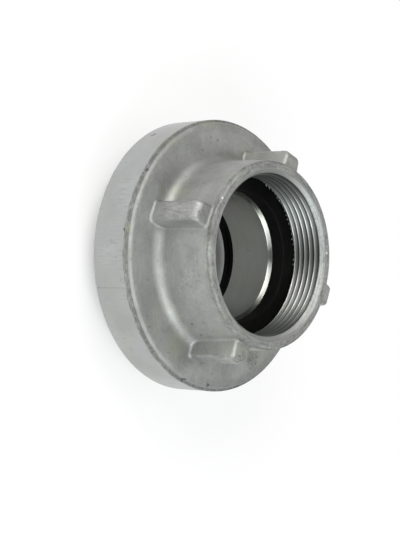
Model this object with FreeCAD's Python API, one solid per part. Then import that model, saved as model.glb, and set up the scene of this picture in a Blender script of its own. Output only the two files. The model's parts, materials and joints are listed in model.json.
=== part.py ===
"""Quarter turn fire hose coupling, nominal size 52, with a 2 inch parallel female pipe thread.

The coupling is one aluminium casting, turned where it seals and locks, with two rubber rings in it.
The row frame has its origin on the axis, in the plane of the tips of the two locking lugs. +Z runs up
the axis, from the lugs to the threaded mouth, so that the coupling stands on its lugs. +X runs through
the middle of one lug. Lengths are in millimetres and angles in degrees, positive about +Z.
"""

import FreeCAD
import Part

import math
import os

from FreeCAD import Vector

# Waterway, from which the hose side is laid out outward
BORE_RADIUS = 22.5
BORE_EDGE_WIDTH = 1.1
BORE_EDGE_LENGTH = 1.4

# Face seal: a rubber ring held by its root in an undercut groove of the hub
SEAL_PROUD = 2.1
SEAL_SEAT_DEPTH = 2.8
SEAL_ROOT_SETBACK = 3.1
SEAL_ROOT_WIDTH = 4.5
SEAL_ROOT_DEPTH = 5.4
SEAL_LIP_DEPTH = 3.2
SEAL_LIP_OVERHANG = 1.8
SEAL_CLEARANCE = 0.15
SEAL_EDGE_RADIUS = 0.7
SEAL_GROOVE_WIDTH = 1.4
SEAL_GROOVE_DEPTH = 1.2

# Hub: what is left between the seal and the slots for the lugs of the other half
HUB_WALL = 1.7
HUB_CLEARANCE = 1.2

# Locking lugs, which are sectors with a hook that points outward
LUG_COUNT = 2
LUG_HEIGHT = 12.0
LUG_STEM_THICKNESS = 4.4
LUG_HOOK_REACH = 4.0
LUG_HOOK_THICKNESS = 5.0
LUG_ARC = 37.0
LUG_TIP_CHAMFER = 1.0
LUG_STEM_FILLET = 1.2
LUG_END_RADIUS = 1.5

# Locking pockets: a slot for the other half's lug stem, an entry window for its hook, and the
# channel under the rim in which the hook travels a quarter turn
STEM_CLEARANCE = 0.3
HOOK_CLEARANCE = 0.8
TIP_CLEARANCE = 1.0
MATED_FACE_GAP = 2.5
CLOSING_TURN = 90.0
ENTRY_SIDE_CLEARANCE = 2.5
RAMP_RISE = 1.2
POCKET_FLOOR_RADIUS = 1.2
WINDOW_CORNER_RADIUS = 1.5

# Flange: the turned ring that carries the lugs and the locking rims
CHANNEL_WALL = 6.8
FRONT_EDGE_CHAMFER = 1.5
TURNED_BAND_WIDTH = 14.7
CAST_FACE_SETBACK = 0.9
CAST_FACE_STEP = 1.7
CAST_CORNER_RADIUS = 1.5

# Socket for the 2 inch pipe thread, at the thread's major radius
SOCKET_RADIUS = 29.9
SOCKET_DEPTH = 19.6
SOCKET_MOUTH_CHAMFER = 0.3
UNDERCUT_DEPTH = 0.6
UNDERCUT_LENGTH = 5.4

# Neck: the wall of the socket, with a little casting draft
NECK_LENGTH = 22.8
NECK_ROOT_WALL = 4.5
NECK_RIM_WALL = 3.3
NECK_ROOT_FILLET = 4.0
RIM_EDGE_RADIUS = 1.0

# Spanner ribs on the neck
RIB_COUNT = 4
FIRST_RIB_ANGLE = 67.3
RIB_FLANGE_HEIGHT = 5.6
RIB_END_HEIGHT = 6.5
RIB_TOP_WIDTH = 7.2
RIB_FOOT_WIDTH = 9.0
RIB_END_SETBACK = 2.2
RIB_END_RADIUS = 2.8
RIB_EDGE_RADIUS = 1.4
RIB_FOOT_FILLET = 1.0

# Thread gasket: a flat rubber ring on the shoulder at the bottom of the socket, held by the undercut
GASKET_THICKNESS = 5.2
GASKET_SIDE_CLEARANCE = 0.25
GASKET_EDGE_RADIUS = 0.4

# Radii, outward from the waterway on the hose side
SEAL_ROOT_INNER = BORE_RADIUS + SEAL_ROOT_SETBACK
SEAL_ROOT_OUTER = SEAL_ROOT_INNER + SEAL_ROOT_WIDTH
SEAL_LIP_RADIUS = SEAL_ROOT_OUTER - SEAL_LIP_OVERHANG
HUB_RADIUS = SEAL_ROOT_OUTER + HUB_WALL
LUG_INNER_RADIUS = HUB_RADIUS + HUB_CLEARANCE
LUG_STEM_RADIUS = LUG_INNER_RADIUS + LUG_STEM_THICKNESS
LUG_HOOK_RADIUS = LUG_STEM_RADIUS + LUG_HOOK_REACH
RIM_INNER_RADIUS = LUG_STEM_RADIUS + STEM_CLEARANCE
CHANNEL_RADIUS = LUG_HOOK_RADIUS + HOOK_CLEARANCE
FLANGE_RADIUS = CHANNEL_RADIUS + CHANNEL_WALL

# Radii, outward from the thread on the pipe side
UNDERCUT_RADIUS = SOCKET_RADIUS + UNDERCUT_DEPTH
NECK_ROOT_RADIUS = SOCKET_RADIUS + NECK_ROOT_WALL
NECK_RIM_RADIUS = SOCKET_RADIUS + NECK_RIM_WALL
RIB_FLANGE_RADIUS = NECK_ROOT_RADIUS + RIB_FLANGE_HEIGHT
RIB_TIP_RADIUS = NECK_RIM_RADIUS + RIB_END_HEIGHT

# Heights of the main planes above the tips of the lugs
FRONT_Z = LUG_HEIGHT
LEDGE_Z = FRONT_Z + FRONT_EDGE_CHAMFER + TURNED_BAND_WIDTH
FACE_Z = LEDGE_Z + CAST_FACE_STEP
MOUTH_Z = FACE_Z + NECK_LENGTH
SHOULDER_Z = MOUTH_Z - SOCKET_DEPTH
SEAL_SEAT_Z = FRONT_Z + SEAL_SEAT_DEPTH
SEAL_LIP_Z = FRONT_Z + SEAL_LIP_DEPTH
SEAL_ROOT_Z = FRONT_Z + SEAL_ROOT_DEPTH
POCKET_FLOOR_Z = FRONT_Z + LUG_HEIGHT - MATED_FACE_GAP + TIP_CLEARANCE

# The rim is as thick as what the hooks of the two halves leave between them
RIM_THICKNESS = LUG_HEIGHT - LUG_HOOK_THICKNESS - MATED_FACE_GAP

# Seen from above, the other half's lug enters beside one of this half's lugs and turns away from it
LUG_HALF_ARC = LUG_ARC / 2
WINDOW_HALF_ARC = LUG_HALF_ARC + ENTRY_SIDE_CLEARANCE
WINDOW_ANGLE = LUG_HALF_ARC + WINDOW_HALF_ARC
LOCKED_ANGLE = WINDOW_ANGLE + CLOSING_TURN
CHANNEL_START = WINDOW_ANGLE - WINDOW_HALF_ARC
CHANNEL_END = LOCKED_ANGLE + LUG_HALF_ARC
RAMP_START = WINDOW_ANGLE + WINDOW_HALF_ARC
RAMP_MIDDLE = (RAMP_START + CHANNEL_END) / 2
RAMP_HALF_ARC = (CHANNEL_END - RAMP_START) / 2
RAMP_RADIUS = (RIM_INNER_RADIUS + CHANNEL_RADIUS) / 2
RAMP_CHORD = 2 * RAMP_RADIUS * math.sin(math.radians(RAMP_HALF_ARC))
RAMP_TILT = math.degrees(math.atan(RAMP_RISE / RAMP_CHORD))

AXIS = Vector(0, 0, 1)
ORIGIN = Vector(0, 0, 0)
FULL_TURN = 360.0
RIB_PITCH = FULL_TURN / RIB_COUNT
OVERCUT = 1.0
TOLERANCE = 1e-3
SAME_POINT = 1e-6


def at(radius, height):
    """A point of a profile, in the half plane through +X."""
    return Vector(radius, 0, height)


def rounded(start, corner, end, size):
    """The arc that rounds the square corner between start and end, as its two ends and its middle."""
    toward_start = (start - corner).normalize()
    toward_end = (end - corner).normalize()
    first = corner + toward_start * size
    last = corner + toward_end * size
    centre = corner + toward_start * size + toward_end * size
    middle = centre - (toward_start + toward_end).normalize() * size
    return first, middle, last


def profile(corners):
    """A closed wire through corners, each a point or a (point, radius) pair whose corner is rounded."""
    points = [c if isinstance(c, Vector) else c[0] for c in corners]
    sizes = [0 if isinstance(c, Vector) else c[1] for c in corners]
    count = len(points)
    arcs = []
    for i, (point, size) in enumerate(zip(points, sizes)):
        before, after = points[i - 1], points[(i + 1) % count]
        arcs.append(rounded(before, point, after, size) if size else (point, point, point))
    edges = []
    for i, (first, middle, last) in enumerate(arcs):
        if sizes[i]:
            edges.append(Part.Arc(first, middle, last).toShape())
        following = arcs[(i + 1) % count][0]
        if last.distanceToPoint(following) > SAME_POINT:
            edges.append(Part.LineSegment(last, following).toShape())
    return Part.Wire(edges)


def turned(corners, start=0.0, sweep=FULL_TURN):
    """The solid that a profile makes when it turns about the axis, from start degrees on."""
    face = Part.Face(profile(corners))
    face.rotate(ORIGIN, AXIS, start)
    return face.revolve(ORIGIN, AXIS, sweep)


def sector(inner, outer, bottom, top, start, end):
    """A plain sector of a ring."""
    corners = [at(inner, bottom), at(outer, bottom), at(outer, top), at(inner, top)]
    return turned(corners, start, end - start)


def around(shape, count):
    """Copies of a shape spaced evenly about the axis."""
    copies = []
    for i in range(count):
        copy = shape.copy()
        copy.rotate(ORIGIN, AXIS, i * FULL_TURN / count)
        copies.append(copy)
    return copies


def axial_edges(shape):
    """The straight edges of a shape that run along the axis."""
    found = []
    for edge in shape.Edges:
        if len(edge.Vertexes) < 2:
            continue
        run = edge.Vertexes[1].Point - edge.Vertexes[0].Point
        if run.Length > SAME_POINT and math.hypot(run.x, run.y) < SAME_POINT:
            found.append(edge)
    return found


def above_ramp(angle, height):
    """The half space above a plane that rises with the angle about the axis, and is at height there."""
    size = 4 * FLANGE_RADIUS
    block = Part.makeBox(size, size, size, Vector(-size / 2, -size / 2, 0))
    block.rotate(ORIGIN, Vector(1, 0, 0), RAMP_TILT)
    block.rotate(ORIGIN, AXIS, angle)
    block.translate(Vector(0, 0, height))
    return block


def casting_blank():
    """The turned outline of the casting, with its bore, threaded socket and seal groove."""
    cast_radius = FLANGE_RADIUS - CAST_FACE_SETBACK
    return turned([
        at(SEAL_LIP_RADIUS, FRONT_Z),
        at(FLANGE_RADIUS - FRONT_EDGE_CHAMFER, FRONT_Z),
        at(FLANGE_RADIUS, FRONT_Z + FRONT_EDGE_CHAMFER),
        at(FLANGE_RADIUS, LEDGE_Z),
        at(cast_radius, LEDGE_Z),
        (at(cast_radius, FACE_Z), CAST_CORNER_RADIUS),
        (at(NECK_ROOT_RADIUS, FACE_Z), NECK_ROOT_FILLET),
        (at(NECK_RIM_RADIUS, MOUTH_Z), RIM_EDGE_RADIUS),
        at(SOCKET_RADIUS + SOCKET_MOUTH_CHAMFER, MOUTH_Z),
        at(SOCKET_RADIUS, MOUTH_Z - SOCKET_MOUTH_CHAMFER),
        at(SOCKET_RADIUS, SHOULDER_Z + UNDERCUT_LENGTH),
        at(UNDERCUT_RADIUS, SHOULDER_Z + UNDERCUT_LENGTH),
        at(UNDERCUT_RADIUS, SHOULDER_Z),
        at(BORE_RADIUS + BORE_EDGE_WIDTH, SHOULDER_Z),
        at(BORE_RADIUS, SHOULDER_Z - BORE_EDGE_LENGTH),
        at(BORE_RADIUS, SEAL_SEAT_Z),
        at(SEAL_ROOT_INNER, SEAL_SEAT_Z),
        at(SEAL_ROOT_INNER, SEAL_ROOT_Z),
        at(SEAL_ROOT_OUTER, SEAL_ROOT_Z),
        at(SEAL_ROOT_OUTER, SEAL_LIP_Z),
        at(SEAL_LIP_RADIUS, SEAL_LIP_Z),
    ])


def spanner_rib():
    """One rib on the neck: a drafted bar with rounded outer edges. It starts inside the flange."""
    inner = (SOCKET_RADIUS + NECK_RIM_RADIUS) / 2
    bottom = FACE_Z - CAST_FACE_STEP
    top = MOUTH_Z - RIB_END_SETBACK
    sections = []
    for outer, height in ((RIB_FLANGE_RADIUS, bottom), (RIB_TIP_RADIUS, top)):
        sections.append(Part.makePolygon([
            Vector(inner, -RIB_FOOT_WIDTH / 2, height),
            Vector(outer, -RIB_TOP_WIDTH / 2, height),
            Vector(outer, RIB_TOP_WIDTH / 2, height),
            Vector(inner, RIB_FOOT_WIDTH / 2, height),
            Vector(inner, -RIB_FOOT_WIDTH / 2, height),
        ]))
    rib = Part.makeLoft(sections, True, True)
    outer_end = []
    for edge in rib.Edges:
        middle = edge.CenterOfMass
        if middle.x > RIB_TIP_RADIUS - TOLERANCE and middle.z > top - TOLERANCE:
            outer_end.append(edge)
    rib = rib.makeFillet(RIB_END_RADIUS, outer_end)
    sides = []
    for edge in rib.Edges:
        middle = edge.CenterOfMass
        off_centre = abs(middle.y) > RIB_TOP_WIDTH / 4
        if off_centre and middle.x > NECK_RIM_RADIUS and middle.z > bottom + TOLERANCE:
            sides.append(edge)
    rib = rib.makeFillet(RIB_EDGE_RADIUS, sides)
    rib.rotate(ORIGIN, AXIS, FIRST_RIB_ANGLE)
    return rib


def pocket():
    """What is cut away for one lug of the other half: its entry window, its slot and its channel."""
    start, end = CHANNEL_START, CHANNEL_END
    window = sector(HUB_RADIUS, CHANNEL_RADIUS, FRONT_Z - OVERCUT, POCKET_FLOOR_Z, start, RAMP_START)
    window = window.makeFillet(WINDOW_CORNER_RADIUS, axial_edges(window))
    slot = sector(HUB_RADIUS, RIM_INNER_RADIUS, FRONT_Z - OVERCUT, POCKET_FLOOR_Z, WINDOW_ANGLE, end)
    channel = turned([
        at(HUB_RADIUS, FRONT_Z),
        at(CHANNEL_RADIUS, FRONT_Z),
        (at(CHANNEL_RADIUS, POCKET_FLOOR_Z), POCKET_FLOOR_RADIUS),
        (at(HUB_RADIUS, POCKET_FLOOR_Z), POCKET_FLOOR_RADIUS),
    ], WINDOW_ANGLE, end - WINDOW_ANGLE)
    channel = channel.common(above_ramp(RAMP_MIDDLE, FRONT_Z + RIM_THICKNESS))
    return window.fuse(slot).fuse(channel)


def locking_lug():
    """One lug: a stem that stands on the flange, and a hook whose seat matches the ramp."""
    root_z = FRONT_Z + LUG_STEM_FILLET
    lug = turned([
        at(LUG_INNER_RADIUS, root_z),
        (at(LUG_INNER_RADIUS, 0), LUG_TIP_CHAMFER),
        (at(LUG_HOOK_RADIUS, 0), LUG_TIP_CHAMFER),
        at(LUG_HOOK_RADIUS, root_z),
    ], -LUG_HALF_ARC, LUG_ARC)
    lug = lug.makeFillet(LUG_END_RADIUS, axial_edges(lug))
    behind_hook = turned([
        (at(LUG_STEM_RADIUS, FRONT_Z), LUG_STEM_FILLET),
        at(CHANNEL_RADIUS, FRONT_Z),
        at(CHANNEL_RADIUS, 0),
        at(LUG_STEM_RADIUS, 0),
    ], -LUG_ARC, 2 * LUG_ARC)
    return lug.cut(behind_hook.common(above_ramp(0, LUG_HOOK_THICKNESS)))


def with_foot_fillets(body):
    """The casting with the feet of its ribs rounded where they meet the neck and the flange."""
    feet = []
    for edge in body.Edges:
        middle = edge.valueAt((edge.FirstParameter + edge.LastParameter) / 2)
        radius = math.hypot(middle.x, middle.y)
        angle = math.degrees(math.atan2(middle.y, middle.x)) - FIRST_RIB_ANGLE
        across = radius * math.sin(math.radians((angle + RIB_PITCH / 2) % RIB_PITCH - RIB_PITCH / 2))
        by_a_rib = abs(across) < RIB_FOOT_WIDTH / 2 + TOLERANCE and radius < RIB_FLANGE_RADIUS + TOLERANCE
        on_blank = middle.z < FACE_Z + NECK_ROOT_FILLET or radius < NECK_ROOT_RADIUS
        below_end = FACE_Z - TOLERANCE < middle.z < MOUTH_Z - RIB_END_SETBACK + TOLERANCE
        if by_a_rib and on_blank and below_end and radius > NECK_RIM_RADIUS - TOLERANCE:
            feet.append(edge)
    return body.makeFillet(RIB_FOOT_FILLET, feet)


def coupling_body():
    body = casting_blank()
    for rib in around(spanner_rib(), RIB_COUNT):
        body = body.fuse(rib)
    body = with_foot_fillets(body.removeSplitter())
    body = body.cut(Part.makeCompound(around(pocket(), LUG_COUNT)))
    for lug in around(locking_lug(), LUG_COUNT):
        body = body.fuse(lug)
    return body.removeSplitter()


def face_seal():
    """The rubber ring that the two halves press together, with a pressure groove in its bore."""
    front = FRONT_Z - SEAL_PROUD
    outer = SEAL_LIP_RADIUS - SEAL_CLEARANCE
    groove_middle = (front + SEAL_SEAT_Z) / 2
    return turned([
        (at(BORE_RADIUS, front), SEAL_EDGE_RADIUS),
        (at(outer, front), SEAL_EDGE_RADIUS),
        at(outer, SEAL_LIP_Z + SEAL_CLEARANCE),
        at(SEAL_ROOT_OUTER - SEAL_CLEARANCE, SEAL_LIP_Z + SEAL_CLEARANCE),
        at(SEAL_ROOT_OUTER - SEAL_CLEARANCE, SEAL_ROOT_Z - SEAL_CLEARANCE),
        at(SEAL_ROOT_INNER + SEAL_CLEARANCE, SEAL_ROOT_Z - SEAL_CLEARANCE),
        at(SEAL_ROOT_INNER + SEAL_CLEARANCE, SEAL_SEAT_Z),
        at(BORE_RADIUS, SEAL_SEAT_Z),
        at(BORE_RADIUS, groove_middle + SEAL_GROOVE_WIDTH / 2),
        at(BORE_RADIUS + SEAL_GROOVE_DEPTH, groove_middle),
        at(BORE_RADIUS, groove_middle - SEAL_GROOVE_WIDTH / 2),
    ])


def thread_gasket():
    top = SHOULDER_Z + GASKET_THICKNESS
    inner = BORE_RADIUS + BORE_EDGE_WIDTH
    outer = UNDERCUT_RADIUS - GASKET_SIDE_CLEARANCE
    return turned([
        at(inner, SHOULDER_Z),
        at(outer, SHOULDER_Z),
        (at(outer, top), GASKET_EDGE_RADIUS),
        (at(inner, top), GASKET_EDGE_RADIUS),
    ])


NODES = {
    "coupling_body": coupling_body,
    "face_seal": face_seal,
    "thread_gasket": thread_gasket,
}

os.makedirs("parts", exist_ok=True)
for name, build in NODES.items():
    shape = build()
    state = "valid" if shape.isValid() else "not valid"
    print(name, state, len(shape.Solids), "solid", len(shape.Faces), "faces", round(shape.Volume), "mm3")
    shape.exportStep(f"parts/{name}.step")
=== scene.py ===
"""Looks of the quarter turn fire hose coupling: its pipe thread, finishes, light and camera.

Everything is in the row frame, in metres: the origin is on the axis, in the plane of the lug tips,
and +Z runs up the axis to the threaded mouth. Material nodes work in millimetres.
"""

import json
import math

import bpy
from mathutils import Matrix, Vector

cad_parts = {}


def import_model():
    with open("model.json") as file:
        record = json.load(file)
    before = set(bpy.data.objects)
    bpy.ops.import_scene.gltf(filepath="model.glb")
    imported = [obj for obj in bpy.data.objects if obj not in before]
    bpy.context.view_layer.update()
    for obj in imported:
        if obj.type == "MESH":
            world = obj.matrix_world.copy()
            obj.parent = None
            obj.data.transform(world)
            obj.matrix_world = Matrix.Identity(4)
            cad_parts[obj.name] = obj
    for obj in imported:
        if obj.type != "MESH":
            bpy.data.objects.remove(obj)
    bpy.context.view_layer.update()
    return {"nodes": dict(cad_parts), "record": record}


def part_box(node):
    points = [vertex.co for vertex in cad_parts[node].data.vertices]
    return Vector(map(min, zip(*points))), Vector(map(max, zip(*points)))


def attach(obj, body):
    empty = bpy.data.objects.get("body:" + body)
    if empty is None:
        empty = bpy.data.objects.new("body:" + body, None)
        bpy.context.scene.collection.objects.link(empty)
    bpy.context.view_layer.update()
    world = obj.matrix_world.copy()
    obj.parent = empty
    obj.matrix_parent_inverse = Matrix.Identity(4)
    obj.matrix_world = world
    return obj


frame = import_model()

MM = 0.001
nodes = frame["nodes"]
mounts = {mount["name"]: mount for mount in frame["record"]["mounts"]}
body_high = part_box("coupling_body")[1]
gasket_low, gasket_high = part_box("thread_gasket")

# Places of the surfaces, in millimetres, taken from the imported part
MOUTH_Z = body_high.z / MM
RING_RADIUS = body_high.x / MM
SOCKET_RADIUS = mounts["female_thread"]["dims"]["r_mm"]
FRONT_Z = mounts["hose_side_coupling"]["pos_m"][2] / MM
GASKET_TOP_Z = gasket_high.z / MM
SHOULDER_Z = gasket_low.z / MM

# Heights above the coupling face, and a radius, of the part's source that no box or mount gives
CHAMFER_HEIGHT = 1.5
BAND_HEIGHT = 16.2
RING_HEIGHT = 17.9
RIB_FACE_RADIUS = 39.7
CHAMFER_Z = FRONT_Z + CHAMFER_HEIGHT
LEDGE_Z = FRONT_Z + BAND_HEIGHT
FACE_Z = FRONT_Z + RING_HEIGHT

# Wear of the casting: each mark is a place on the surface and the radius that it covers
DARK_MARKS = (
    ((8.75, 48.2, 27.4), 0.75),
    ((-46.1, 8.6, 29.9), 1.0),
    ((-43.7, 20.4, 28.7), 1.3),
    ((29.1, 38.3, 28.5), 0.8),
    ((-23.8, 24.4, 36.6), 0.6),
    ((-27.7, 19.8, 36.6), 0.6),
    ((42.7, 24.1, 17.6), 1.5),
    ((41.4, 3.4, 29.9), 0.45),
    ((42.3, 7.0, 29.9), 0.35),
)
SCUFFED_PLACES = (
    ((-37.2, 14.4, 37.5), 4.0),
    ((-38.5, -15.5, 30.0), 4.5),
    ((-35.7, 14.6, 49.8), 3.6),
    ((13.9, 35.1, 50.5), 3.0),
)
SPECKLED_PLACES = (
    ((-8.0, 32.7, 43.5), 6.0),
)
TINTED_PLACES = (
    ((9.4, 47.2, 28.6), 2.2),
    ((21.9, 26.5, 32.9), 4.0),
    ((47.7, 8.3, 28.6), 4.0),
    ((40.0, -12.0, 33.0), 5.0),
    ((-31.0, 26.0, 30.0), 6.0),
)
BRIGHT_NICKS = (
    ((1.0, -31.0, 52.7), 0.55),
    ((3.4, -31.2, 52.7), 0.40),
    ((19.3, 26.6, 52.6), 0.50),
)
BAND_SCRATCH_ANGLE = 103.2

# Colours of the casting. A pair is mixed by noise, from its first to its second.
CAST_TONES = ((0.339, 0.344, 0.334), (0.424, 0.429, 0.421))
BAND_TONES = ((0.385, 0.39, 0.385), (0.46, 0.47, 0.47))
BORE_TONES = ((0.49, 0.50, 0.475), (0.60, 0.61, 0.58))
RUBBED_BAND_TONE = (0.28, 0.285, 0.28)
SCRATCH_TONE = (0.16, 0.16, 0.155)
# Painted shade on the edge of the bore, more on its upper part, that dims and narrows its highlight
BORE_EDGE_SHADE_TONE = (0.235, 0.24, 0.235)
SHOULDER_SHADE_TONE = (0.14, 0.143, 0.136)
# Painted shade on the step from the band to the cast face
STEP_SHADE_TONE = (0.15, 0.152, 0.142)
STAIN_TONE = (0.41, 0.425, 0.325)
DARK_MARK_TONE = (0.13, 0.13, 0.12)
NICK_TONE = (0.90, 0.91, 0.90)
# Worn edges, lighter partly from wear and partly as a painted highlight
WORN_EDGE_AND_HIGHLIGHT_TONE = (0.80, 0.81, 0.80)
# Painted shade in corners
CORNER_SHADE_TONE = (0.16, 0.16, 0.145)

# Colours of the cut thread, the rubber and the floor
FLANK_TONES = ((0.20, 0.21, 0.203), (0.28, 0.29, 0.28))
# A painted highlight for the crests of the thread, and painted shade for its roots
CREST_HIGHLIGHT_TONE = (0.51, 0.52, 0.495)
ROOT_SHADE_TONE = (0.05, 0.054, 0.051)
PATCH_TONE = (0.30, 0.325, 0.33)
CONE_TONES = ((0.22, 0.23, 0.225), (0.42, 0.43, 0.42))
# A painted highlight for the cone at the mouth
CONE_HIGHLIGHT_TONE = (0.66, 0.67, 0.65)
RUBBER_TONES = ((0.0030, 0.0031, 0.0030), (0.0055, 0.0056, 0.0054))
RUBBED_RUBBER_TONE = (0.014, 0.014, 0.0135)
FLOOR_TONES = ((0.90, 0.90, 0.90), (0.93, 0.93, 0.93))

# The 2 inch parallel pipe thread, 11 turns to the inch. Its roots stay just clear of the socket's
# wall, its back lies just behind that wall, and it ends just short of the mouth and the gasket.
# The flatness is the share of the straight flank in its profile, and the rest is eased.
THREAD_PITCH = 25.4 / 11
THREAD_CREST_RADIUS = 28.33
THREAD_ROOT_RADIUS = SOCKET_RADIUS - 0.06
THREAD_CONE_RADIUS = SOCKET_RADIUS + 0.23
THREAD_BACK_RADIUS = SOCKET_RADIUS + 0.27
THREAD_TOP_Z = MOUTH_Z - 0.05
THREAD_BOTTOM_Z = GASKET_TOP_Z + 0.2
THREAD_FLATNESS = 0.75
THREAD_STEPS_AROUND = 480
THREAD_STEPS_PER_TURN = 18

# The burrs of its last turn: the largest, and their share in each row from the gasket up
THREAD_BURR = 0.9
THREAD_BURR_SHARES = (1.0, 0.9, 0.45)

# Faces of the CAD nodes that meet at less than this angle, in degrees, are shaded as one
SMOOTH_ANGLE = 32

# The floor, in metres, how far it is mixed with plain white where it is seen, and the distances
# from the axis, in millimetres, over which that begins
FLOOR_HALF_SIZE = 6.0
FLOOR_WHITENESS = 0.8
WHITE_FLOOR_FROM = 30.0
WHITE_FLOOR_TO = 48.0

# The surround: its strength, and the heights of the view direction between which the pale
# horizon fades out
SURROUND_STRENGTH = 0.05
HORIZON_FROM = 0.02
HORIZON_TO = 0.30

# Soft lights: name, direction from the coupling, distance and size in metres, watts and colour
NEUTRAL = (1.0, 1.0, 1.0)
SOFT_LIGHTS = (
    ("side_softbox_a", (0.66, 0.38, 0.63), 0.9, 0.45, 5.4, (1.0, 0.985, 0.95)),
    ("side_softbox_b", (-0.66, 0.38, 0.63), 0.9, 0.45, 5.2, (0.94, 0.98, 1.0)),
    ("top_softbox", (0.0, -0.15, 1.0), 1.3, 1.0, 3.0, NEUTRAL),
    ("front_softbox_a", (0.42, 0.78, 0.56), 1.1, 0.38, 3.0, NEUTRAL),
    ("front_softbox_b", (-0.42, 0.78, 0.56), 1.1, 0.38, 2.2, NEUTRAL),
    ("back_softbox", (0.0, -0.8, 0.6), 1.1, 0.6, 2.15, NEUTRAL),
)

# Camera, from the ellipses of the ring and the neck in the photograph
CAMERA_LENS = 98.8
CAMERA_SENSOR = 36.0
CAMERA_DISTANCE = 538.5
CAMERA_AXIS_ANGLE = 47.8
CAMERA_RIGHT_SHIFT = 3.5
CAMERA_DOWN_SHIFT = 3.9
CAMERA_CLIP_START = 0.01
CAMERA_CLIP_END = 50


class Graph:
    """The nodes of a material or a world: small helpers that add nodes and return their output."""

    def __init__(self, owner):
        owner.use_nodes = True
        self.owner = owner
        self.tree = owner.node_tree
        self.tree.nodes.clear()

    def add(self, kind, **settings):
        node = self.tree.nodes.new(kind)
        for key, value in settings.items():
            setattr(node, key, value)
        return node

    def feed(self, socket, value):
        """Links a socket to an output, or sets its own value."""
        if isinstance(value, bpy.types.NodeSocket):
            self.tree.links.new(value, socket)
        else:
            socket.default_value = value

    def math(self, operation, *values):
        node = self.add("ShaderNodeMath", operation=operation)
        for socket, value in zip(node.inputs, values):
            self.feed(socket, value)
        return node.outputs[0]

    def plus(self, a, b):
        return self.math("ADD", a, b)

    def minus(self, a, b):
        return self.math("SUBTRACT", a, b)

    def times(self, a, b):
        return self.math("MULTIPLY", a, b)

    def larger(self, a, b):
        return self.math("MAXIMUM", a, b)

    def vector(self, x, y, z):
        node = self.add("ShaderNodeCombineXYZ")
        for socket, value in zip(node.inputs, (x, y, z)):
            self.feed(socket, value)
        return node.outputs[0]

    def scale(self, vector, amount):
        """A vector times a number. A colour becomes lighter or darker by it."""
        node = self.add("ShaderNodeVectorMath", operation="SCALE")
        self.feed(node.inputs[0], vector)
        self.feed(node.inputs["Scale"], amount)
        return node.outputs[0]

    def ramp(self, value, low, high, at_low=0.0, at_high=1.0):
        """Goes smoothly from at_low, where the value is low, to at_high, where it is high.

        It stays level beyond both, and low may be the larger of the two.
        """
        node = self.add("ShaderNodeMapRange", interpolation_type="SMOOTHSTEP")
        self.feed(node.inputs["Value"], value)
        node.inputs["From Min"].default_value = min(low, high)
        node.inputs["From Max"].default_value = max(low, high)
        node.inputs["To Min"].default_value = at_low if low < high else at_high
        node.inputs["To Max"].default_value = at_high if low < high else at_low
        return node.outputs[0]

    def noise(self, where, scale, detail=3.0, roughness=0.5):
        node = self.add("ShaderNodeTexNoise")
        self.feed(node.inputs["Vector"], where)
        node.inputs["Scale"].default_value = scale
        node.inputs["Detail"].default_value = detail
        node.inputs["Roughness"].default_value = roughness
        return node.outputs["Fac"]

    def mix(self, factor, a, b):
        node = self.add("ShaderNodeMix", data_type="FLOAT")
        self.feed(node.inputs[0], factor)
        self.feed(node.inputs[2], a)
        self.feed(node.inputs[3], b)
        return node.outputs[0]

    def mix_colour(self, factor, a, b):
        node = self.add("ShaderNodeMix", data_type="RGBA")
        self.feed(node.inputs[0], factor)
        for socket, value in ((node.inputs[6], a), (node.inputs[7], b)):
            self.feed(socket, (*value, 1.0) if isinstance(value, tuple) else value)
        return node.outputs[2]

    def place(self):
        """Sets the point, x, y, z, radius and angle about the axis, in millimetres and radians."""
        self.point = self.scale(self.add("ShaderNodeTexCoord").outputs["Object"], 1 / MM)
        split = self.add("ShaderNodeSeparateXYZ")
        self.feed(split.inputs[0], self.point)
        self.x, self.y, self.z = split.outputs
        squares = self.plus(self.times(self.x, self.x), self.times(self.y, self.y))
        self.radius = self.math("SQRT", squares)
        self.angle = self.math("ARCTAN2", self.y, self.x)

    def bump(self, height, strength, distance, normal=None):
        node = self.add("ShaderNodeBump")
        node.inputs["Strength"].default_value = strength
        node.inputs["Distance"].default_value = distance * MM
        self.feed(node.inputs["Height"], height)
        if normal is not None:
            self.feed(node.inputs["Normal"], normal)
        return node.outputs[0]

    def rounded_normal(self, radius):
        node = self.add("ShaderNodeBevel", samples=6)
        node.inputs["Radius"].default_value = radius * MM
        return node.outputs[0]

    def edge_mask(self, normal, low, high):
        """1 where the rounded normal leaves the true one, which is along the edges."""
        true_normal = self.add("ShaderNodeNewGeometry").outputs["Normal"]
        dot = self.add("ShaderNodeVectorMath", operation="DOT_PRODUCT")
        self.feed(dot.inputs[0], normal)
        self.feed(dot.inputs[1], true_normal)
        return self.ramp(dot.outputs["Value"], high, low)

    def cavity(self, distance):
        """1 deep in a corner, 0 in the open."""
        node = self.add("ShaderNodeAmbientOcclusion", samples=8)
        node.inputs["Distance"].default_value = distance * MM
        return self.minus(1.0, node.outputs["AO"])

    def lathe_marks(self, fineness, around, detail=3.0):
        """Marks round the axis: they vary fast with radius and height and slowly with angle."""
        where = self.vector(self.times(self.radius, fineness), self.times(self.z, fineness), around)
        return self.noise(where, 1.0, detail)

    def fine_lines(self, turn):
        """Sparse fine lines that all run one way."""
        mapping = self.add("ShaderNodeMapping")
        self.feed(mapping.inputs["Vector"], self.point)
        mapping.inputs["Rotation"].default_value = turn
        mapping.inputs["Scale"].default_value = (0.10, 3.0, 3.0)
        return self.ramp(self.noise(mapping.outputs[0], 1.0, 1.0), 0.685, 0.735)

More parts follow.
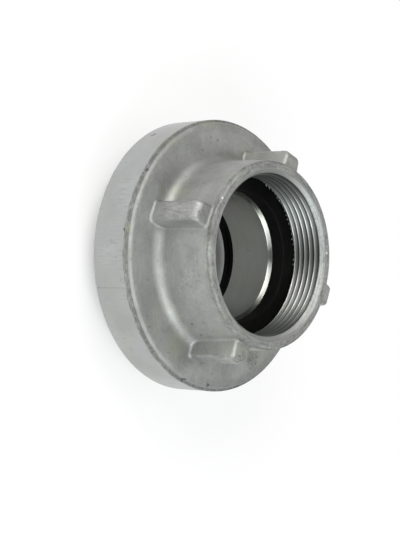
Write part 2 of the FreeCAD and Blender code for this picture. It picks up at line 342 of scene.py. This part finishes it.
    def places(self, marks, strength):
        """Spots with ragged outlines at the given points."""
        uneven = self.times(self.minus(self.noise(self.point, 0.9, 3.0), 0.5), 1.6)
        found = 0.0
        for centre, size in marks:
            node = self.add("ShaderNodeVectorMath", operation="DISTANCE")
            self.feed(node.inputs[0], self.point)
            node.inputs[1].default_value = centre
            reach = self.plus(node.outputs["Value"], self.times(uneven, size))
            found = self.larger(found, self.ramp(reach, size, size * 0.45))
        return self.times(found, strength)

    def seen(self):
        """1 for what the camera sees, directly, in a reflection or through glass, and 0 for other light."""
        path = self.add("ShaderNodeLightPath").outputs
        seen = self.larger(path["Is Camera Ray"], path["Is Glossy Ray"])
        return self.larger(seen, path["Is Transmission Ray"])

    def principled(self, **inputs):
        """The main shader. Its inputs are given by their names, with _ for a space."""
        shader = self.add("ShaderNodeBsdfPrincipled")
        for name, value in inputs.items():
            self.feed(shader.inputs[name.replace("_", " ")], value)
        return shader.outputs[0]

    def end(self, shader, kind="ShaderNodeOutputMaterial"):
        """Links a shader to the output, and returns the material or the world."""
        self.feed(self.add(kind).inputs["Surface"], shader)
        return self.owner


def aluminium():
    """Die-cast aluminium: cast skin outside, turned on the band, the coupling face and the bore."""
    g = Graph(bpy.data.materials.new("cast_aluminium"))
    g.place()

    # Turned faces. The band ends in a ragged line, short of the step to the cast face.
    wander = g.noise(g.vector(g.times(g.angle, 9.0), 0.0, g.times(g.z, 0.3)), 1.0, 4.0, 0.65)
    ragged_z = g.plus(g.z, g.times(g.minus(wander, 0.4), 2.2))
    band_radius = g.ramp(g.radius, RING_RADIUS - 0.5, RING_RADIUS - 0.3)
    past_band = g.ramp(ragged_z, LEDGE_Z - 0.5, LEDGE_Z - 0.2)
    band = g.times(band_radius, g.minus(1.0, past_band))
    front = g.ramp(g.z, CHAMFER_Z + 0.4, CHAMFER_Z)
    inside = g.ramp(g.radius, SOCKET_RADIUS + 0.4, SOCKET_RADIUS + 0.25)
    turned = g.larger(g.larger(band, front), inside)
    # The step from the band to the cast face, which gets painted shade
    step_shade = g.times(past_band, g.ramp(g.z, FACE_Z - 0.7, FACE_Z - 1.3))
    step_shade = g.times(step_shade, g.ramp(g.radius, RING_RADIUS - 1.4, RING_RADIUS - 1.0))
    # The edge of the bore, and its upper part, which get painted shade
    bore_edge = g.times(inside, g.ramp(g.z, SHOULDER_Z - 1.6, SHOULDER_Z - 1.35))
    shoulder_shade = g.times(inside, g.ramp(g.z, SHOULDER_Z - 1.25, SHOULDER_Z - 0.65))

    # Edges, worn and with a painted highlight, which hardly show on the ring's rim and the mouth, then
    # corners with painted shade, the mouth and the ribs
    rounded = g.rounded_normal(0.35)
    patchy = g.ramp(g.noise(g.point, 0.8, 3.0, 0.6), 0.36, 0.62)
    edges = g.times(g.edge_mask(rounded, 0.90, 0.995), g.mix(patchy, 0.35, 1.0))
    plain = g.larger(band_radius, g.ramp(g.z, MOUTH_Z - 0.8, MOUTH_Z - 0.4))
    edges = g.times(edges, g.minus(1.0, g.times(plain, 0.9)))
    # How deep a point lies in a corner: it darkens corners as painted shade and makes them rougher
    corners = g.cavity(2.5)
    ring_corner = g.times(past_band, g.ramp(g.radius, RING_RADIUS - 5.0, RING_RADIUS - 3.2))
    outside_socket = g.ramp(g.radius, SOCKET_RADIUS + 0.3, SOCKET_RADIUS + 1.2)
    rim = g.times(g.ramp(g.z, MOUTH_Z - 3.0, MOUTH_Z - 0.8), outside_socket)
    # The rounded corner at the mouth, which gets painted shade
    rim_corner_shade = g.times(g.ramp(g.z, MOUTH_Z - 1.7, MOUTH_Z - 1.1), g.ramp(g.z, MOUTH_Z, MOUTH_Z - 0.3))
    rib_radius = g.ramp(g.radius, RIB_FACE_RADIUS - 1.5, RIB_FACE_RADIUS - 0.3)
    rib_face = g.times(rib_radius, g.ramp(g.z, FACE_Z + 3.0, FACE_Z + 5.0))

    # Turned surface: lathe marks, and strokes and one scratch across the band
    around = g.times(g.angle, 1.5)
    lathe = g.lathe_marks(5.0, around, 2.0)
    lathe_bands = g.lathe_marks(0.9, around)
    clouds = g.noise(g.point, 0.07, 4.0, 0.55)
    arc = g.times(g.angle, RING_RADIUS)
    strokes = g.noise(g.vector(g.times(arc, 2.0), g.times(g.z, 0.16), 3.0), 1.0, 3.0)
    rubbed = g.times(g.ramp(strokes, 0.48, 0.66), g.ramp(g.noise(g.point, 0.07, 3.0), 0.46, 0.60))
    from_scratch = g.times(g.minus(g.angle, math.radians(BAND_SCRATCH_ANGLE)), RING_RADIUS)
    scratch = g.ramp(g.math("ABSOLUTE", from_scratch), 0.30, 0.08)
    broken = g.ramp(g.noise(g.vector(0.0, 0.0, g.times(g.z, 0.9)), 1.0, 2.0), 0.42, 0.56)
    scratch = g.times(scratch, g.times(broken, band))

    # Cast skin: grain, shallow hollows, pits, hoops round the axis, and fine lines left by handling
    grain = g.noise(g.point, 1.6, 4.0, 0.6)
    hollows = g.noise(g.point, 0.22, 2.0)
    pits = g.ramp(g.noise(g.point, 0.75, 1.0), 0.30, 0.22)
    mottle = g.noise(g.point, 0.11, 4.0, 0.6)
    speckle = g.noise(g.point, 0.95, 2.0, 0.7)
    rim_spots = g.noise(g.point, 0.8, 3.0, 0.7)
    hoop_place = g.vector(g.times(g.angle, 7.0), g.times(g.radius, 1.6), g.times(g.z, 1.6))
    hoops = g.minus(g.noise(hoop_place, 1.0, 3.0), 0.5)
    rib_place = g.vector(g.times(g.x, 1.5), g.times(g.y, 1.5), g.times(g.z, 0.35))
    rib_strokes = g.noise(rib_place, 1.0, 4.0, 0.65)
    lines = g.larger(g.fine_lines((0.4, 0.9, 0.3)), g.fine_lines((1.3, 0.2, 1.1)))
    cast_shade = 1.0
    for change, weight in (
        (g.minus(speckle, 0.5), 0.20),
        (hoops, 0.14),
        (lines, 0.22),
        # The mouth's rim is spotted, and darker on the whole as painted shade; its rounded corner gets more
        # painted shade
        (g.times(rim, g.minus(rim_spots, 0.60)), 1.1),
        (g.times(rib_face, g.minus(rib_strokes, 0.5)), 1.1),
        (rim_corner_shade, -0.13),
        (g.times(rim, hoops), 0.9),
    ):
        cast_shade = g.plus(cast_shade, g.times(change, weight))

    # Wear: stains, scuffs, pits and marks, and patches that break up the painted shade on the step
    stain = g.noise(g.vector(g.x, g.times(g.y, 0.7), g.plus(g.z, 71.0)), 0.055, 3.0)
    stained = g.larger(g.times(g.ramp(stain, 0.48, 0.70), 0.24), g.places(TINTED_PLACES, 0.42))
    scuffed = g.larger(g.places(SCUFFED_PLACES, 1.0), g.places(SPECKLED_PLACES, 0.35))
    scuffs = g.times(scuffed, g.ramp(g.noise(g.point, 1.0, 4.0, 0.75), 0.47, 0.58))
    dark = g.larger(g.times(pits, 0.40), g.times(scuffs, 0.60))
    dark = g.larger(dark, g.places(DARK_MARKS, 0.80))
    step_shade_breakup = g.mix(g.ramp(g.noise(g.point, 0.7, 3.0, 0.7), 0.42, 0.58), 0.05, 0.45)

    cast_colour = g.scale(g.mix_colour(g.ramp(mottle, 0.3, 0.7), *CAST_TONES), cast_shade)
    band_colour = g.mix_colour(g.ramp(clouds, 0.3, 0.7), *BAND_TONES)
    band_colour = g.mix_colour(g.times(rubbed, 0.42), band_colour, RUBBED_BAND_TONE)
    band_colour = g.mix_colour(g.times(scratch, 0.55), band_colour, SCRATCH_TONE)
    bore_colour = g.mix_colour(lathe_bands, *BORE_TONES)
    # Painted shade on the bore's edge, and more on its upper part, so that its highlight stays dim and narrow
    bore_colour = g.mix_colour(bore_edge, bore_colour, BORE_EDGE_SHADE_TONE)
    bore_colour = g.mix_colour(g.times(shoulder_shade, 0.85), bore_colour, SHOULDER_SHADE_TONE)
    colour = g.mix_colour(turned, cast_colour, g.mix_colour(inside, band_colour, bore_colour))
    for mask, tone in (
        # Painted shade on the step, in patches
        (g.times(step_shade, step_shade_breakup), STEP_SHADE_TONE),
        (stained, STAIN_TONE),
        (dark, DARK_MARK_TONE),
        (g.places(BRIGHT_NICKS, 0.8), NICK_TONE),
        # Worn edges, lighter partly from wear and partly as a painted highlight
        (g.times(edges, 0.32), WORN_EDGE_AND_HIGHLIGHT_TONE),
        # Painted shade in the corners
        (g.times(g.ramp(corners, 0.25, 0.95), 0.45), CORNER_SHADE_TONE),
    ):
        colour = g.mix_colour(mask, colour, tone)

    roughness = g.mix(turned, g.mix(grain, 0.53, 0.69), g.mix(lathe_bands, 0.30, 0.42))
    for change, weight in (
        (edges, -0.08),
        (g.larger(rim, ring_corner), 0.10),
        (bore_edge, -0.07),
        (g.times(g.minus(1.0, turned), corners), 0.25),
    ):
        roughness = g.plus(roughness, g.times(change, weight))

    dented = g.larger(g.larger(rim, ring_corner), g.times(rib_face, 0.7))
    dents = g.times(g.noise(g.point, 0.55, 3.0, 0.6), g.mix(dented, 0.8, 4.0))
    cast_height = g.plus(g.plus(grain, g.times(hollows, 1.5)), dents)
    cast_height = g.minus(cast_height, g.times(dark, 2.0))
    height = g.mix(turned, cast_height, g.times(lathe, 0.35))
    normal = g.bump(height, 0.5, 0.10, rounded)
    return g.end(g.principled(Base_Color=colour, Metallic=1.0, Roughness=roughness, Normal=normal))


def cut_thread():
    """Cut aluminium with painted highlights on the crests, painted shade in the roots, tool marks along the
    turns and a rougher cone.
    """
    g = Graph(bpy.data.materials.new("cut_aluminium"))
    g.place()
    around = g.times(g.angle, 2.0)
    marks = g.lathe_marks(7.0, around)
    patches = g.noise(g.point, 0.16, 3.0)
    root = g.ramp(g.radius, THREAD_CREST_RADIUS + 0.6, THREAD_ROOT_RADIUS - 0.1)
    crest = g.ramp(g.radius, THREAD_CREST_RADIUS + 0.32, THREAD_CREST_RADIUS + 0.12)
    cone = g.ramp(g.z, THREAD_TOP_Z - 1.9, THREAD_TOP_Z - 1.5)
    groove_shade = g.times(root, g.minus(1.0, cone))
    colour = g.mix_colour(marks, *FLANK_TONES)
    # The crests get a painted highlight, and the roots, away from the cone, get painted shade
    colour = g.mix_colour(g.times(crest, 0.85), colour, CREST_HIGHLIGHT_TONE)
    colour = g.mix_colour(g.times(g.ramp(patches, 0.40, 0.65), 0.35), colour, PATCH_TONE)
    colour = g.mix_colour(g.times(groove_shade, 0.90), colour, ROOT_SHADE_TONE)

    # The cone at the mouth is spotted and ringed, and has a painted highlight toward both lugs
    cone_spots = g.ramp(g.noise(g.point, 0.7, 3.0, 0.7), 0.38, 0.60)
    cone_rings = g.noise(g.vector(g.times(g.radius, 3.4), 5.0, around), 1.0, 2.0)
    cone_tone = g.mix(0.6, cone_spots, g.ramp(cone_rings, 0.36, 0.60))
    cone_colour = g.mix_colour(cone_tone, *CONE_TONES)
    highlight_sides = g.ramp(g.math("ABSOLUTE", g.x), 15.0, 27.0)
    cone_colour = g.mix_colour(g.times(highlight_sides, 0.6), cone_colour, CONE_HIGHLIGHT_TONE)
    colour = g.mix_colour(cone, colour, cone_colour)

    roughness = g.mix(cone, g.mix(marks, 0.33, 0.45), 0.58)
    chatter = g.times(g.noise(g.point, 0.9, 3.0, 0.7), g.mix(cone, 0.3, 1.2))
    chatter = g.plus(chatter, g.times(cone_rings, g.times(cone, 2.5)))
    normal = g.bump(g.plus(marks, chatter), 0.4, 0.06)
    return g.end(g.principled(Base_Color=colour, Metallic=1.0, Roughness=roughness, Normal=normal))


def rubber():
    """Moulded black rubber, a little paler in patches and along its edges."""
    g = Graph(bpy.data.materials.new("seal_rubber"))
    g.place()
    rounded = g.rounded_normal(0.25)
    edges = g.edge_mask(rounded, 0.88, 0.995)
    grain = g.noise(g.point, 3.0, 3.0, 0.6)
    bloom = g.noise(g.point, 0.18, 4.0, 0.6)
    colour = g.mix_colour(g.ramp(bloom, 0.35, 0.75), *RUBBER_TONES)
    colour = g.mix_colour(g.times(edges, 0.15), colour, RUBBED_RUBBER_TONE)
    roughness = g.mix(bloom, 0.55, 0.72)
    normal = g.bump(grain, 0.35, 0.05, rounded)
    return g.end(g.principled(Base_Color=colour, Roughness=roughness, Specular_IOR_Level=0.08, Normal=normal))


def put(name, data):
    """A new object in the scene."""
    thing = bpy.data.objects.new(name, data)
    bpy.context.scene.collection.objects.link(thing)
    return thing


def thread_radius(angle, height):
    """Where the wall of the thread is, with flat flanks, eased crests and roots, and a cone at the mouth."""
    turn = (height / THREAD_PITCH - angle / (2 * math.pi)) % 1.0
    slope = 1.0 - abs(2.0 * turn - 1.0)
    eased = slope * slope * (3.0 - 2.0 * slope)
    ridge = THREAD_FLATNESS * slope + (1.0 - THREAD_FLATNESS) * eased
    radius = THREAD_ROOT_RADIUS - (THREAD_ROOT_RADIUS - THREAD_CREST_RADIUS) * ridge
    cone = THREAD_CONE_RADIUS - (THREAD_TOP_Z - height)
    return max(radius, cone)


def burr(angle):
    """How ragged the last turn is at an angle, from 0 to 1, where the tap ran out on the gasket."""
    coarse = math.sin(59 * angle) * math.sin(37 * angle + 1.3)
    fine = math.sin(101 * angle + 2 * math.sin(7 * angle))
    return max(0.0, coarse + 0.7 * fine) / 1.7


def pipe_thread():
    """The turns of the female thread, as a closed sleeve whose back lies inside the neck."""
    length = THREAD_TOP_Z - THREAD_BOTTOM_Z
    rows = round(length / THREAD_PITCH * THREAD_STEPS_PER_TURN)
    count = THREAD_STEPS_AROUND
    heights = [THREAD_BOTTOM_Z + length * i / rows for i in range(rows + 1)]
    angles = [2 * math.pi * i / count for i in range(count)]
    rings = [[thread_radius(angle, height) for angle in angles] for height in heights]
    for row, share in enumerate(THREAD_BURR_SHARES):
        rings[row] = [radius - THREAD_BURR * share * burr(angle) for radius, angle in zip(rings[row], angles)]
    for back_height in (THREAD_TOP_Z, THREAD_BOTTOM_Z):
        rings.append([THREAD_BACK_RADIUS] * count)
        heights.append(back_height)
    vertices = []
    for radii, height in zip(rings, heights):
        for radius, angle in zip(radii, angles):
            vertices.append((radius * MM * math.cos(angle), radius * MM * math.sin(angle), height * MM))
    faces = []
    for i in range(len(rings)):
        here = i * count
        above = (i + 1) % len(rings) * count
        for j in range(count):
            beside = (j + 1) % count
            faces.append((here + j, above + j, above + beside, here + beside))
    mesh = bpy.data.meshes.new("pipe_thread")
    mesh.from_pydata(vertices, [], faces)
    mesh.validate()
    for polygon in mesh.polygons:
        polygon.use_smooth = True
    return put("pipe_thread", mesh)


def smooth(node):
    """Shades a CAD node smoothly except across its sharp edges."""
    bpy.ops.object.select_all(action="DESELECT")
    node.select_set(True)
    bpy.context.view_layer.objects.active = node
    bpy.ops.object.shade_smooth_by_angle(angle=math.radians(SMOOTH_ANGLE))


def area_light(name, direction, distance, size, watts, colour):
    """A square soft light that points at the middle of the coupling."""
    light = bpy.data.lights.new(name, "AREA")
    light.shape = "SQUARE"
    light.size = size
    light.energy = watts
    light.color = colour
    target = Vector((0, 0, (FRONT_Z + MOUTH_Z) / 2 * MM))
    away = Vector(direction).normalized()
    holder = put(name, light)
    holder.location = target + away * distance
    holder.rotation_mode = "QUATERNION"
    holder.rotation_quaternion = away.to_track_quat("Z", "Y")


def floor():
    """A plain pale floor that keeps the object's shadow.

    Away from the object, most of what is seen of it is plain white, whatever light falls there.
    """
    g = Graph(bpy.data.materials.new("studio_floor"))
    g.place()
    colour = g.mix_colour(g.noise(g.point, 0.004, 2.0), *FLOOR_TONES)
    shader = g.principled(Base_Color=colour, Roughness=0.9, Specular_IOR_Level=0.1)
    white = g.add("ShaderNodeEmission").outputs[0]
    away = g.times(g.ramp(g.radius, WHITE_FLOOR_FROM, WHITE_FLOOR_TO), FLOOR_WHITENESS)
    both = g.add("ShaderNodeMixShader")
    for socket, value in zip(both.inputs, (g.times(g.seen(), away), shader, white)):
        g.feed(socket, value)
    half = FLOOR_HALF_SIZE
    mesh = bpy.data.meshes.new("studio_floor")
    corners = [(-half, -half, 0), (half, -half, 0), (half, half, 0), (-half, half, 0)]
    mesh.from_pydata(corners, [], [(0, 1, 2, 3)])
    mesh.materials.append(g.end(both.outputs[0]))
    plane = put("studio_floor", mesh)


def world():
    """A dim surround that is seen as pale toward the horizon, where the floor ends."""
    g = Graph(bpy.data.worlds.new("studio"))
    split = g.add("ShaderNodeSeparateXYZ")
    g.feed(split.inputs[0], g.add("ShaderNodeTexCoord").outputs["Generated"])
    fade = g.ramp(split.outputs["Z"], HORIZON_FROM, HORIZON_TO, 1.0, SURROUND_STRENGTH)
    light = g.add("ShaderNodeBackground")
    g.feed(light.inputs["Strength"], g.mix(g.seen(), SURROUND_STRENGTH, fade))
    bpy.context.scene.world = g.end(light.outputs[0], "ShaderNodeOutputWorld")


def camera():
    """The photograph is taken from above the mouth and turned on its side, with +X up in the picture."""
    angle = math.radians(CAMERA_AXIS_ANGLE)
    right = Vector((0, -math.cos(angle), math.sin(angle)))
    up = Vector((1, 0, 0))
    back = Vector((0, math.sin(angle), math.cos(angle)))
    data = bpy.data.cameras.new("photo_camera")
    data.lens = CAMERA_LENS
    data.sensor_width = CAMERA_SENSOR
    data.clip_start = CAMERA_CLIP_START
    data.clip_end = CAMERA_CLIP_END
    place = right * CAMERA_RIGHT_SHIFT - up * CAMERA_DOWN_SHIFT + back * CAMERA_DISTANCE
    holder = put("photo_camera", data)
    holder.matrix_world = Matrix((
        (right.x, up.x, back.x, place.x * MM),
        (right.y, up.y, back.y, place.y * MM),
        (right.z, up.z, back.z, (place.z + CHAMFER_Z) * MM),
        (0, 0, 0, 1),
    ))
    bpy.context.scene.camera = holder


metal = aluminium()
black_rubber = rubber()
for name, node in nodes.items():
    node.data.materials.clear()
    node.data.materials.append(metal if name == "coupling_body" else black_rubber)
    smooth(node)

thread = pipe_thread()
thread.data.materials.append(cut_thread())
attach(thread, "root")

floor()
world()
for light in SOFT_LIGHTS:
    area_light(*light)
camera()

scene = bpy.context.scene
scene.view_settings.view_transform = "Standard"
